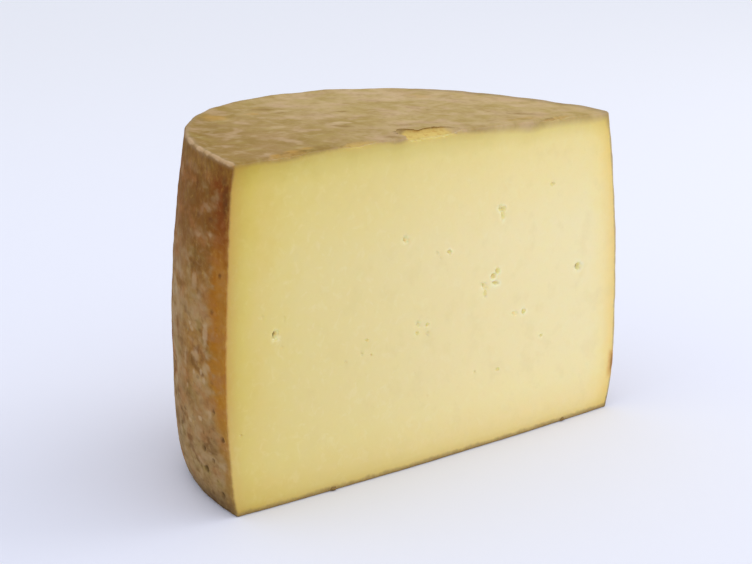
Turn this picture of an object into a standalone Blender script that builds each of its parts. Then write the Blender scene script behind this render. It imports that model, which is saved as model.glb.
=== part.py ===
"""Half of a farmhouse cheddar truckle, cut straight down through its axis and resting on its flat base.

Metres, +Z up. The cut face looks along -Y, the rind bulges towards +Y, and +X runs right along the cut.
While it is shaped, the wheel's axis is the Z axis. Last, the origin moves to the middle of the box's base.
"""
import math
import random

import bmesh
import bpy
from mathutils import Euler, Matrix, Vector, noise

MILLIMETRE = 0.001

# The whole wheel: a barrel, widest a third of the way up
HEIGHT = 0.178
BELLY_RADIUS = 0.1402
BELLY_HEIGHT = 0.0678
TOP_RADIUS = 0.1309
BASE_RADIUS = 0.1342
UPPER_BULGE_POWER = 1.95
LOWER_BULGE_POWER = 3.0
TOP_ROUNDING = 0.0014
BASE_ROUNDING = 0.0015

# The top is slightly domed, with a low lip at its rim, and leans
DOME_RISE = 0.0021
DOME_BLEND_POWER = 4
LIP_RISE = 0.0007
LIP_WIDTH = 0.0045
LEFT_RISE = 0.0041
BACK_RISE = 0.0041

# The rind swells at the left end of the cut, below the top
SHOULDER_RISE = 0.0024
SHOULDER_HEIGHT = 0.168
SHOULDER_SPREAD_UP = 0.030
SHOULDER_SPREAD_BACK = 0.020

# The foot of the cut face sags forward, most in the middle
FOOT_SAG = 0.0030
FOOT_HEIGHT = 0.075
FOOT_DEPTH = 0.050

# The rind draws in at its foot, away from the ends of the cut
TUCK_IN = 0.0024
TUCK_HEIGHT = 0.014
TUCK_SPREAD = 0.019

# Uneven surfaces: how high the bumps are, how far apart, and where in the noise they are read
LUMP_RISE = 0.0007
LUMP_LENGTH = 0.048
KNUCKLE_RISE = 0.0004
KNUCKLE_LENGTH = 0.017
LUMP_PLACE = Vector((2.75, -8.5, 5.5))
CUT_WAVE_RISE = 0.0003
CUT_WAVE_LENGTH = 0.042
RELIEF_DEPTH = 0.012

# The mesh: cells along an eighth of a turn of the rim, up the side, and over each rounded rim
CELLS_IN_EIGHTH = 14
CELLS_UP_SIDE = 20
CELLS_IN_TOP_ROUNDING = 2
CELLS_IN_BASE_ROUNDING = 2
WELD_DISTANCE = 0.00001
SHARP_EDGE_ANGLE = math.radians(35)

# Openings in the cut face, in mm: across from the axis, up from the base, width, height, depth, and turn in
# degrees. Each is an ellipsoid with its middle a little way behind the face.
EYE_SINK_SHARE = 0.12
EYES = (
    (-108.1, 91.1, 4.6, 5.6, 4.5, 15),
    (-21.1, 125.8, 3.6, 3.2, 3.0, 0),
    (10.2, 113.9, 3.8, 2.6, 2.8, 20),
    (47.6, 131.5, 4.2, 3.4, 3.0, 30),
    (50.4, 131.3, 3.4, 3.6, 3.0, -20),
    (49.3, 127.9, 2.8, 6.0, 3.0, 0),
    (42.6, 94.8, 4.4, 3.6, 3.6, -20),
    (45.8, 97.2, 3.8, 4.0, 3.4, -25),
    (44.4, 90.5, 5.0, 2.8, 3.0, 10),
    (35.9, 90.8, 3.2, 3.6, 3.2, 0),
    (36.6, 86.2, 2.2, 5.0, 2.2, 8),
    (108.2, 89.0, 5.2, 4.6, 4.2, 0),
    (66.1, 70.5, 3.2, 3.4, 3.0, 0),
    (59.2, 70.7, 5.4, 2.8, 1.6, 5),
    (79.6, 54.0, 2.8, 2.4, 2.0, 0),
    (-12.1, 78.0, 3.0, 2.6, 2.2, 0),
    (-5.5, 76.7, 2.8, 2.6, 2.0, 0),
    (-12.7, 73.3, 2.6, 2.4, 2.0, 0),
    (45.9, 41.1, 3.2, 2.2, 1.8, 0),
    (87.0, 139.5, 2.8, 2.4, 2.0, 0),
)

# Places where the top crust broke away at the cut, in mm: across, length, drop down the face and depth
CHIPS = (
    (-11.5, 17.0, 2.8, 17.0),
    (3.5, 32.0, 2.4, 11.0),
    (-52.5, 26.0, 1.4, 5.0),
    (-97.0, 34.0, 1.2, 3.4),
    (91.0, 28.0, 1.0, 3.2),
)

# Pits in the rind near the cut, in mm: angle round the axis in degrees, up from the base, width and depth
NEAR_PITS = (
    (178.2, 41.2, 4.0, 1.8),
    (175.3, 54.5, 3.4, 1.4),
    (170.4, 31.9, 4.2, 1.8),
    (173.9, 27.0, 3.6, 1.5),
    (170.6, 20.2, 4.6, 1.8),
    (176.1, 9.9, 4.0, 1.6),
)

# The rest of the rind has the same kind of pits, most of them low on the side
FAR_PIT_COUNT = 16
FAR_PIT_WIDTHS = (2.6, 5.4)
PIT_DEPTH_SHARE = 0.35
FAR_PIT_ANGLES = (8.0, 160.0)
FAR_PIT_HEIGHTS = (8.0, 130.0)
PIT_SEED = 11

RIND_COLOUR = (0.235, 0.135, 0.052, 1.0)
RIND_ROUGHNESS = 0.85


def side_radius(height):
    """The barrel's radius at a height, before any relief."""
    if height >= BELLY_HEIGHT:
        share = (height - BELLY_HEIGHT) / (HEIGHT - BELLY_HEIGHT)
        return BELLY_RADIUS - (BELLY_RADIUS - TOP_RADIUS) * share ** UPPER_BULGE_POWER
    share = (BELLY_HEIGHT - height) / BELLY_HEIGHT
    return BELLY_RADIUS - (BELLY_RADIUS - BASE_RADIUS) * share ** LOWER_BULGE_POWER


def profile():
    """Radius and height of each ring of the rind, from the edge of the base to the edge of the top."""
    rings = []
    for step in range(CELLS_IN_BASE_ROUNDING):
        turn = math.radians(90 * step / CELLS_IN_BASE_ROUNDING)
        height = BASE_ROUNDING * (1 - math.cos(turn))
        rings.append((side_radius(height) - BASE_ROUNDING * (1 - math.sin(turn)), height))
    straight = HEIGHT - TOP_ROUNDING - BASE_ROUNDING
    for step in range(CELLS_UP_SIDE):
        height = BASE_ROUNDING + straight * step / CELLS_UP_SIDE
        rings.append((side_radius(height), height))
    for step in range(CELLS_IN_TOP_ROUNDING + 1):
        turn = math.radians(90 * step / CELLS_IN_TOP_ROUNDING)
        height = HEIGHT - TOP_ROUNDING * (1 - math.sin(turn))
        rings.append((side_radius(height) - TOP_ROUNDING * (1 - math.cos(turn)), height))
    return rings


def half_disc(across, inward):
    """Maps across (-1 to 1) and inward (0 to 1) to a half disc of radius 1, with even cells along its rim."""
    return across * math.sqrt(1 - inward ** 2 / 2), inward * math.sqrt(1 - across ** 2 / 2)


def rim_places():
    """The across and inward values of each point along the half disc's rim, from +X round the back to -X."""
    cells = CELLS_IN_EIGHTH
    places = [(1.0, step / cells) for step in range(cells)]
    places += [(1.0 - step / cells, 1.0) for step in range(2 * cells)]
    places += [(-1.0, 1.0 - step / cells) for step in range(cells + 1)]
    return places


def fade(distance):
    """1 at a surface, falling smoothly to 0 a little way inside it."""
    share = min(max(1 - distance / RELIEF_DEPTH, 0.0), 1.0)
    return share * share * (3 - 2 * share)


def lumps(point):
    """Height of the rind's bumps, large and small."""
    large = noise.noise(point / LUMP_LENGTH + LUMP_PLACE)
    small = noise.noise(point / KNUCKLE_LENGTH + LUMP_PLACE)
    return LUMP_RISE * large + KNUCKLE_RISE * small


def shoulder(point):
    """How far the rind swells outward at the left end of the cut."""
    if point.x > 0:
        return 0.0
    up = (point.z - SHOULDER_HEIGHT) / SHOULDER_SPREAD_UP
    back = point.y / SHOULDER_SPREAD_BACK
    return SHOULDER_RISE * math.exp(-up * up - back * back)


def foot_sag(point):
    """How far the foot of the cut face stands forward."""
    across = max(1 - (point.x / side_radius(point.z)) ** 2, 0.0)
    down = max(1 - point.z / FOOT_HEIGHT, 0.0)
    forward = max(1 - point.y / FOOT_DEPTH, 0.0)
    return FOOT_SAG * across * down ** 2 * forward ** 2


def foot_tuck(point):
    """How far the rind draws in just above the base."""
    low = max(1 - point.z / TUCK_HEIGHT, 0.0)
    away = 1 - math.exp(-((point.y / TUCK_SPREAD) ** 2))
    return TUCK_IN * low ** 2 * away


def deform(point):
    """Moves a point of the plain half barrel to its place on the domed, leaning and uneven cheese."""
    radius = math.hypot(point.x, point.y)
    near_side = fade(side_radius(point.z) - radius)
    near_top = fade(HEIGHT - point.z)
    near_cut = fade(point.y)
    height_share = point.z / HEIGHT

    push = lumps(point)
    outward = Vector((point.x, point.y, 0.0)).normalized()
    moved = point + outward * (push + shoulder(point) - foot_tuck(point)) * near_side

    dome = DOME_RISE * (1 - (radius / TOP_RADIUS) ** 2)
    lip = LIP_RISE * math.exp(-((TOP_RADIUS - radius) / LIP_WIDTH) ** 2)
    moved.z += (dome + lip) * height_share ** DOME_BLEND_POWER + push * near_top
    moved.z *= 1 + (BACK_RISE * point.y - LEFT_RISE * point.x) / (HEIGHT * TOP_RADIUS)

    wave_place = Vector((point.x, 0.0, point.z)) / CUT_WAVE_LENGTH
    moved.y += CUT_WAVE_RISE * noise.noise(wave_place) * near_cut - foot_sag(point)
    return moved


def add_patch(mesh, rows):
    """Adds a sheet of four-sided faces through rows of points."""
    corners = [[mesh.verts.new(deform(point)) for point in row] for row in rows]
    for lower, upper in zip(corners, corners[1:]):
        for left in range(len(lower) - 1):
            mesh.faces.new((lower[left], lower[left + 1], upper[left + 1], upper[left]))


def side_rows():
    """The rind's side: a ring of points round the back for each ring of the profile."""
    directions = [Vector((*half_disc(*place), 0.0)) for place in rim_places()]
    return [[direction * radius + Vector((0.0, 0.0, height)) for direction in directions]
            for radius, height in profile()]


def top_rows():
    """The top crust, from the cut edge to the back."""
    radius, height = profile()[-1]
    rows = []
    for inward_step in range(CELLS_IN_EIGHTH + 1):
        row = []
        for across_step in range(-CELLS_IN_EIGHTH, CELLS_IN_EIGHTH + 1):
            x, y = half_disc(across_step / CELLS_IN_EIGHTH, inward_step / CELLS_IN_EIGHTH)
            row.append(Vector((x * radius, y * radius, height)))
        rows.append(row)
    return rows


def cut_rows():
    """The cut face, one row for each ring of the profile."""
    rows = []
    for radius, height in profile():
        row = []
        for across_step in range(-CELLS_IN_EIGHTH, CELLS_IN_EIGHTH + 1):
            row.append(Vector((radius * across_step / CELLS_IN_EIGHTH, 0.0, height)))
        rows.append(row)
    return rows


def close_base(mesh):
    """Fills the open loop round the flat base with one face."""
    open_edges = [edge for edge in mesh.edges if edge.is_boundary]
    bmesh.ops.contextual_create(mesh, geom=open_edges)


def make_material(name, colour, roughness):
    material = bpy.data.materials.new(name)
    material.use_nodes = True
    shader = material.node_tree.nodes["Principled BSDF"]
    shader.inputs["Base Color"].default_value = colour
    shader.inputs["Roughness"].default_value = roughness
    shader.inputs["Metallic"].default_value = 0.0
    material.diffuse_color = colour
    return material


def make_cheese():
    """The half wheel as one closed mesh, before its eyes and chips are cut."""
    mesh = bmesh.new()
    add_patch(mesh, side_rows())
    add_patch(mesh, top_rows())
    add_patch(mesh, cut_rows())
    bmesh.ops.remove_doubles(mesh, verts=mesh.verts, dist=WELD_DISTANCE)
    close_base(mesh)
    bmesh.ops.recalc_face_normals(mesh, faces=mesh.faces)
    data = bpy.data.meshes.new("cheese_half")
    mesh.to_mesh(data)
    mesh.free()
    data.shade_smooth()
    data.set_sharp_from_angle(angle=SHARP_EDGE_ANGLE)
    cheese = bpy.data.objects.new("cheese_half", data)
    cheese.data.materials.append(make_material("rind", RIND_COLOUR, RIND_ROUGHNESS))
    bpy.context.scene.collection.objects.link(cheese)
    return cheese


def add_scoop(group, name, place, size, turn):
    """A closed ellipsoid that hollows the cheese where it overlaps it."""
    mesh = bmesh.new()
    bmesh.ops.create_icosphere(mesh, subdivisions=2, radius=0.5)
    bmesh.ops.scale(mesh, vec=size, verts=mesh.verts)
    bmesh.ops.rotate(mesh, matrix=turn.to_matrix(), verts=mesh.verts)
    data = bpy.data.meshes.new(name)
    mesh.to_mesh(data)
    mesh.free()
    scoop = bpy.data.objects.new(name, data)
    scoop.location = place
    scoop.hide_render = True
    scoop.display_type = "WIRE"
    group.objects.link(scoop)


def add_eyes(group):
    for number, (across, up, width, height, depth, turn) in enumerate(EYES):
        place = Vector((across, EYE_SINK_SHARE * depth, up)) * MILLIMETRE
        place.y -= foot_sag(Vector((place.x, 0.0, place.z)))
        size = Vector((width, 2 * depth, height)) * MILLIMETRE
        add_scoop(group, f"eye_scoop_{number:02d}", place, size, Euler((0.0, math.radians(turn), 0.0)))


def add_chips(group):
    for number, (across, length, drop, depth) in enumerate(CHIPS):
        place = deform(Vector((across * MILLIMETRE, 0.0, HEIGHT)))
        size = Vector((length, 2 * depth, 2 * drop)) * MILLIMETRE
        add_scoop(group, f"chip_scoop_{number:02d}", place, size, Euler((0.0, 0.0, 0.0)))


def add_pits(group):
    draw = random.Random(PIT_SEED)
    pits = list(NEAR_PITS)
    for _ in range(FAR_PIT_COUNT):
        low, high = FAR_PIT_HEIGHTS
        height = low + (high - low) * draw.random() ** 2
        width = draw.uniform(*FAR_PIT_WIDTHS)
        pits.append((draw.uniform(*FAR_PIT_ANGLES), height, width, PIT_DEPTH_SHARE * width))
    for number, (angle, up, width, depth) in enumerate(pits):
        turn = math.radians(angle)
        radius = side_radius(up * MILLIMETRE)
        place = Vector((radius * math.cos(turn), radius * math.sin(turn), up * MILLIMETRE))
        size = Vector((2 * depth, width, width)) * MILLIMETRE
        add_scoop(group, f"pit_scoop_{number:02d}", place, size, Euler((0.0, 0.0, turn)))


def cut_scoops(cheese):
    """Hollows the cheese with every scoop, through one Boolean."""
    group = bpy.data.collections.new("scoops")
    bpy.context.scene.collection.children.link(group)
    add_eyes(group)
    add_chips(group)
    add_pits(group)
    cut = cheese.modifiers.new("hollows", "BOOLEAN")
    cut.operation = "DIFFERENCE"
    cut.solver = "EXACT"
    cut.operand_type = "COLLECTION"
    cut.collection = group
    return group


def settle_origin(cheese, group):
    """Moves everything so that the middle of the box's base is at the origin."""
    xs = [vertex.co.x for vertex in cheese.data.vertices]
    ys = [vertex.co.y for vertex in cheese.data.vertices]
    shift = Vector(((min(xs) + max(xs)) / 2, (min(ys) + max(ys)) / 2, 0.0))
    cheese.data.transform(Matrix.Translation(-shift))
    for scoop in group.objects:
        scoop.location -= shift


def main():
    for leftover in list(bpy.data.objects):
        bpy.data.objects.remove(leftover)
    cheese = make_cheese()
    group = cut_scoops(cheese)
    settle_origin(cheese, group)


main()
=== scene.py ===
"""Looks of half a farmhouse cheddar truckle: its pale cut paste, its thin mottled rind, and a pale floor.

Metres, +Z up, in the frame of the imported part. The cut face looks along -Y and the rind bulges towards +Y.
The cheese is modelled round its wheel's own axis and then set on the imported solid, which it replaces.
"""
import math
import random

import bmesh
import bpy
import numpy as np
from mathutils import Matrix, Vector, noise


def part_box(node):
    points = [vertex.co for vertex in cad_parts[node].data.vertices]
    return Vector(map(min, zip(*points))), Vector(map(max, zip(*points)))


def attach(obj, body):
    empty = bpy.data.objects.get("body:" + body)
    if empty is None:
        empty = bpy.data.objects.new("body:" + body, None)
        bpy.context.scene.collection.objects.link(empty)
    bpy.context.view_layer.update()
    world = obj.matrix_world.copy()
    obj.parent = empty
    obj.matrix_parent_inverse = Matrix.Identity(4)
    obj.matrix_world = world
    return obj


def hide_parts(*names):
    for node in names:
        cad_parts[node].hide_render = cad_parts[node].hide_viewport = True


MILLIMETRE = 0.001
NODE = "cheese_half"

# The whole wheel: a barrel, widest a third of the way up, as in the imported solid
HEIGHT = 0.178
BELLY_RADIUS = 0.1402
BELLY_HEIGHT = 0.0678
TOP_RADIUS = 0.1309
BASE_RADIUS = 0.1342
UPPER_BULGE_POWER = 1.95
LOWER_BULGE_POWER = 3.0
TOP_ROUNDING = 0.0014
BASE_ROUNDING = 0.0015
DOME_RISE = 0.0021
DOME_BLEND_POWER = 4
LIP_RISE = 0.0007
LIP_WIDTH = 0.0045
LEFT_RISE = 0.0041
BACK_RISE = 0.0041
SHOULDER_RISE = 0.0024
SHOULDER_HEIGHT = 0.168
SHOULDER_SPREAD_UP = 0.030
SHOULDER_SPREAD_BACK = 0.020
FOOT_SAG = 0.0030
FOOT_HEIGHT = 0.075
FOOT_DEPTH = 0.050
TUCK_IN = 0.0024
TUCK_HEIGHT = 0.014
TUCK_SPREAD = 0.019

# Uneven surfaces: how high the bumps are, how far apart, and where in the noise they are read
LUMP_RISE = 0.0007
LUMP_LENGTH = 0.048
KNUCKLE_RISE = 0.0004
KNUCKLE_LENGTH = 0.017
LUMP_PLACE = (2.75, -8.5, 5.5)
CUT_WAVE_RISE = 0.0003
CUT_WAVE_LENGTH = 0.042
RELIEF_DEPTH = 0.012

# Finer relief, which only these looks have
CRUST_RISE = 0.00028
CRUST_LENGTH = 0.0066
CRUMB_RISE = 0.00013
CRUMB_LENGTH = 0.0030
SCALLOP_RISE = 0.0002
SCALLOP_LENGTH = 0.0085
SCALLOP_PLACE = (5.5, 1.5, 0.5)
SCALLOP_WIDTH = 0.004
SCALLOP_SPREAD = 0.075
SCALLOP_AT_RIGHT = 0.2
TOP_SHARE_OF_FINE = 0.35
FINE_DEPTH = 0.003
EDGE_ROUNDING = 0.0011
TOP_EDGE_ROUNDING = 0.0019
FOOT_ROUNDING = 0.0008
ROUNDING_SHARE = 0.3
ROUNDING_VARIES = 0.4
ROUNDING_LENGTH = 0.011

# The mesh: cells along an eighth of a turn of the rim, up the side and over each rounded rim, the places of
# the thin cells beside each edge as shares of a cell, and the sizes of the rings under the base
CELLS_IN_EIGHTH = 76
CELLS_UP_SIDE = 118
CELLS_IN_ROUNDING = 4
THIN_CELLS = (0.25, 0.6)
BASE_RINGS = (0.985, 0.94)
BASE_MIDDLE = 0.06
CUTS_AT_HOLLOWS = 3
HOLLOW_MARGIN = 0.0012
WELD_DISTANCE = 0.00001
SHARP_EDGE_ANGLE = math.radians(50)

# Openings in the cut face, in mm: across from the axis, up from the base, width, height, depth, and turn in
# degrees. Each is an ellipsoid with its middle a little way behind the face.
EYE_SINK_SHARE = 0.12
EYES = (
    (-108.1, 91.1, 4.6, 5.6, 4.5, 15),
    (-21.1, 125.8, 3.6, 3.2, 3, 0),
    (10.2, 113.9, 3.8, 2.6, 2.8, 20),
    (47.6, 131.5, 4.2, 3.4, 3, 30),
    (50.4, 131.3, 3.4, 3.6, 3, -20),
    (49.3, 127.9, 2.8, 6, 3, 0),
    (42.6, 94.8, 4.4, 3.6, 3.6, -20),
    (45.8, 97.2, 3.8, 4, 3.4, -25),
    (44.4, 90.5, 5, 2.8, 3, 10),
    (35.9, 90.8, 3.2, 3.6, 3.2, 0),
    (36.6, 86.2, 2.2, 5, 2.2, 8),
    (108.2, 89, 5.2, 4.6, 4.2, 0),
    (66.1, 70.5, 3.2, 3.4, 3, 0),
    (59.2, 70.7, 5.4, 2.8, 1.6, 5),
    (79.6, 54, 2.8, 2.4, 2, 0),
    (-12.1, 78, 3, 2.6, 2.2, 0),
    (-5.5, 76.7, 2.8, 2.6, 2, 0),
    (-12.7, 73.3, 2.6, 2.4, 2, 0),
    (45.9, 41.1, 3.2, 2.2, 1.8, 0),
    (87, 139.5, 2.8, 2.4, 2, 0),
)

# Smaller and shallower openings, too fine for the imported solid
FINE_EYES = (
    (-5.9, 72, 2.2, 2.2, 1.2, 0),
    (-48.1, 76.5, 2.4, 2, 1.2, 0),
    (-51.6, 69.7, 1.8, 1.8, 1, 0),
    (-45.4, 67.8, 1.8, 1.6, 1, 0),
    (28.5, 43, 2, 1.6, 1, 0),
    (-63.2, 67.7, 1.8, 1.6, 0.9, 0),
    (-131.2, 43.1, 1.8, 1.8, 1, 0),
    (-116.3, 101.6, 2.6, 3.4, 0.5, 0),
    (-104.8, 84.2, 3.2, 2.4, 0.5, 0),
    (-102.3, 98.1, 2, 4.6, 0.5, 10),
    (1, 115, 3, 2.4, 0.5, 0),
    (3.5, 112, 2, 2, 0.4, 0),
)

# Places where the top crust broke away at the cut, in mm: across, length, drop down the face and depth
CHIPS = (
    (-11.5, 17, 2.8, 17),
    (3.5, 32, 2.4, 11),
    (-52.5, 26, 1.4, 5),
    (-97, 34, 1.2, 3.4),
    (91, 28, 1, 3.2),
)

# Places where the top crust's colour reaches down the cut, in mm: across, length and drop down the face
FLAPS = (
    (-99, 34, 1.3),
    (-26, 12, 1.6),
    (30, 34, 1.2),
    (70, 18, 1.5),
)

# Crumbs stuck to the foot of the cut face, in mm: across, up, width, height and depth
CRUMBS = (
    (-73.2, 1.2, 4.6, 2.6, 1.4),
    (96.2, 1.2, 4, 2.4, 1.3),
)

# Pits in the rind near the cut, in mm: angle round the axis in degrees, up from the base, width and depth
NEAR_PITS = (
    (178.2, 41.2, 4, 1.8),
    (175.3, 54.5, 3.4, 1.4),
    (170.4, 31.9, 4.2, 1.8),
    (173.9, 27, 3.6, 1.5),
    (170.6, 20.2, 4.6, 1.8),
    (176.1, 9.9, 4, 1.6),
)
FAR_PIT_COUNT = 16
FAR_PIT_WIDTHS = (2.6, 5.4)
PIT_DEPTH_SHARE = 0.35
FAR_PIT_ANGLES = (8.0, 160.0)
FAR_PIT_HEIGHTS = (8.0, 130.0)
PIT_SEED = 11

# The noise that makes each hollow's outline ragged, and where it is read for each axis
WARP_RISE = 0.00045
WARP_LENGTH = 0.0022
WARP_PLACES = ((0.5, 3.5, 7.5), (11.5, 1.5, 4.5), (6.5, 9.5, 2.5))

# How softly each kind of hollow starts at its rim, how wide the ring of painted highlight round an opening
# is, how large an opening has the full ring, and the depth in mm above which broken crust counts as a chip
# and not as a flake
SOFT_RIMS = {"eye": 0.8, "chip": 0.1, "flake": 0.8, "pit": 0.4, "crumb": 0.3}
HALO_REACH = 2.2
HALO_DEPTH = 0.003
FLAKE_DEPTH = 8

# Marks on the rind's side: angle in degrees, then in mm up from the base, width along the rind and height,
# then turn in degrees and strength
SIDE_PALE = (
    (172.6, 90.5, 7, 13, 0, 1),
    (168, 77, 12, 11, 0, 0.8),
    (166.8, 115, 9, 12, 20, 0.9),
    (169.5, 109, 10, 9, 30, 0.8),
    (171, 152.8, 16, 4, -12, 0.8),
    (176, 157, 8, 3.5, -30, 0.6),
    (166.8, 138, 12, 4, 0, 0.7),
    (173.2, 141, 5, 9, 0, 0.6),
    (168.4, 174, 9, 7, 0, 0.6),
    (162, 72, 7, 12, 0, 0.8),
    (167.1, 68.6, 3.6, 3.6, 0, 1),
    (170.5, 70.4, 3.6, 3.6, 0, 1.2),
    (171.8, 67, 3.6, 3.6, 0, 1.1),
    (163, 58.8, 4, 4, 0, 1),
    (165, 92, 3.6, 3.6, 0, 1),
    (173.9, 50.4, 5, 9, 0, 0.7),
    (163.3, 41.1, 5, 5, 0, 0.7),
    (168, 22, 14, 10, 0, 0.6),
)
SIDE_ORANGE = (
    (176.4, 75, 16, 18, 0, 0.9),
    (178, 120, 11, 40, 0, 0.8),
    (175.5, 130, 9, 22, 0, 0.6),
    (178.5, 95, 8, 40, 0, 0.8),
    (164, 100, 10, 12, 0, 0.4),
)
SIDE_DARK = (
    (178.8, 160, 8, 20, 0, 1),
    (177.8, 168, 6, 8, 0, 0.8),
    (177.6, 122.9, 3.4, 3.4, 0, 1),
    (173, 148, 9, 4, 0, 0.8),
    (166.4, 147.6, 8, 7, 0, 0.6),
    (164.5, 161, 8, 16, 0, 0.6),
    (175, 103.5, 5, 5, 0, 0.7),
    (174.2, 38.3, 4, 4, 0, 0.6),
    (171.8, 8, 6, 4, 0, 0.7),
    (174.6, 4.5, 7, 4, 0, 0.7),
)

# Marks on the top: across and back in mm, width and depth, turn in degrees and strength
TOP_PALE = (
    # The first mark is a painted highlight along a ridge of the crust; the rest are paler patches
    (-25.5, 46, 13, 6, -40, 1.2),
    (-32, 92, 16, 14, 0, 0.7),
    (9.3, 62.4, 8, 7, 0, 0.7),
    (41, 84, 30, 20, -20, 0.6),
    (-62, 54, 16, 12, 0, 0.6),
    (10, 30, 34, 12, -20, 0.5),
)
TOP_ORANGE = (
    (-104, 3, 9, 5, 0, 0.9),
    (-93, 4, 12, 7, 0, 1),
    (-82, 5, 10, 6, 0, 0.8),
    (-74, 96, 18, 18, 0, 0.9),
    (-48, 91, 12, 12, 0, 0.6),
    (66, 87, 22, 14, -20, 0.5),
    (-36.3, 106, 10, 6, 0, 0.5),
    (72, 7, 60, 9, 0, 0.5),
)
TOP_DARK = (
    (-36, 100, 15, 8, -35, 1),
    (-35, 88, 9, 6, 0, 0.8),
    (-6.1, 69.4, 10, 6, -40, 0.9),
    (-32, 37.5, 12, 6, -40, 1),
    (-86.5, 76.5, 14, 12, -40, 0.7),
    (-95.8, 3.7, 4, 3, 0, 0.9),
    (81, 16.5, 30, 8, -40, 0.8),
    (125.2, 30.9, 10, 8, 0, 0.8),
    (-2, 24, 22, 8, -30, 0.7),
    (-27, 4, 13, 6, -40, 0.8),
    (-110, 2, 4, 3, 0, 0.8),
)
MARKS = (("pale", SIDE_PALE, TOP_PALE), ("orange", SIDE_ORANGE, TOP_ORANGE), ("dark", SIDE_DARK, TOP_DARK))

# How fast a mark fades from its middle
MARK_SPREAD = 4.0

# The camera, fitted to the cheese's outline in the photo
CAMERA_PLACE = (-0.76829, -0.91542, 0.41210)
CAMERA_AZIMUTH = math.radians(40.63)
CAMERA_DIP = math.radians(15.30)
CAMERA_ROLL = math.radians(-0.198)
CAMERA_LENS = 106.74
SENSOR_WIDTH = 36.0

# The noises of the colours: mm from bump to bump, detail, roughness, where in the noise they are read, and
# distortion. Those of the side run along the rind and are longer that way.
SIDE_STRETCH = (1.8, 1, 1)
SIDE_NOISES = {
    "broad": (15, 3, 0.55, 2, 0.3),
    "mid": (7.5, 2, 0.5, 6, 0.2),
    "warm": (9, 3, 0.5, 14, 0.25),
    "fine": (3.2, 2, 0.5, 8, 0),
}
CLOUD_NOISE = (34, 3.0, 0.5, 17.0, 0.0)
TOP_NOISES = {
    "broad": (24, 3, 0.55, 2.5, 0),
    "patches": (16, 3, 0.5, 5, 0.3),
    "mid": (8.5, 3, 0.5, 6.5, 0.3),
    "fine": (3, 2, 0.5, 8.5, 0),
}
PASTE_NOISES = {
    "uneven": (14, 3, 0.6, 1, 0),
    "curd": (5.5, 3, 0.6, 7, 0.6),
    "grain": (1.3, 2, 0.55, 9, 0),
}
EDGE_NOISES = {
    "ragged": (3.2, 4, 0.65, 4, 0),
    "knots": (8, 2, 0.55, 12, 0),
}
PASTE_GLOSS_NOISE = (7, 3.0, 0.55, 5.0, 0.0)
RIND_GLOSS_NOISE = (5, 3.0, 0.55, 5.5, 0.0)

# How far apart the side's pale specks and small holes and the top's specks lie, in mm
SIDE_SPECK_SPACING = 9.5
SIDE_HOLE_SPACING = 8.5
SIDE_HOLE_PLACE = 0.3
TOP_SPECK_SPACING = 13.0

# Ground colours along a noise or a length: a place from 0 to 1, and the colour as seen on a screen
SIDE_RAMP = ((0.34, (130, 90, 38)), (0.46, (150, 108, 52)), (0.56, (160, 121, 68)), (0.68, (168, 138, 94)))
BAND_RAMP = ((0.04, (152, 116, 60)), (0.3, (168, 112, 26)), (0.66, (160, 98, 14)), (0.84, (118, 58, 10)))
TOP_RAMP = ((0.34, (172, 146, 86)), (0.47, (184, 158, 106)), (0.57, (191, 164, 118)), (0.68, (194, 166, 126)))
WHITE = (255, 255, 255)
# Partly painted shade and partly the crust's own tone: the top darker towards the left, away from the light
TOP_SHADE = ((0, (208, 194, 152)), (1, WHITE))
# The paste paler to the right: partly painted light from the right, partly the paste's own deeper yellow at
# the left
PASTE_RAMP = ((0, (230, 211, 139)), (0.5, (240, 222, 163)), (1, (250, 231, 178)))

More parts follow.
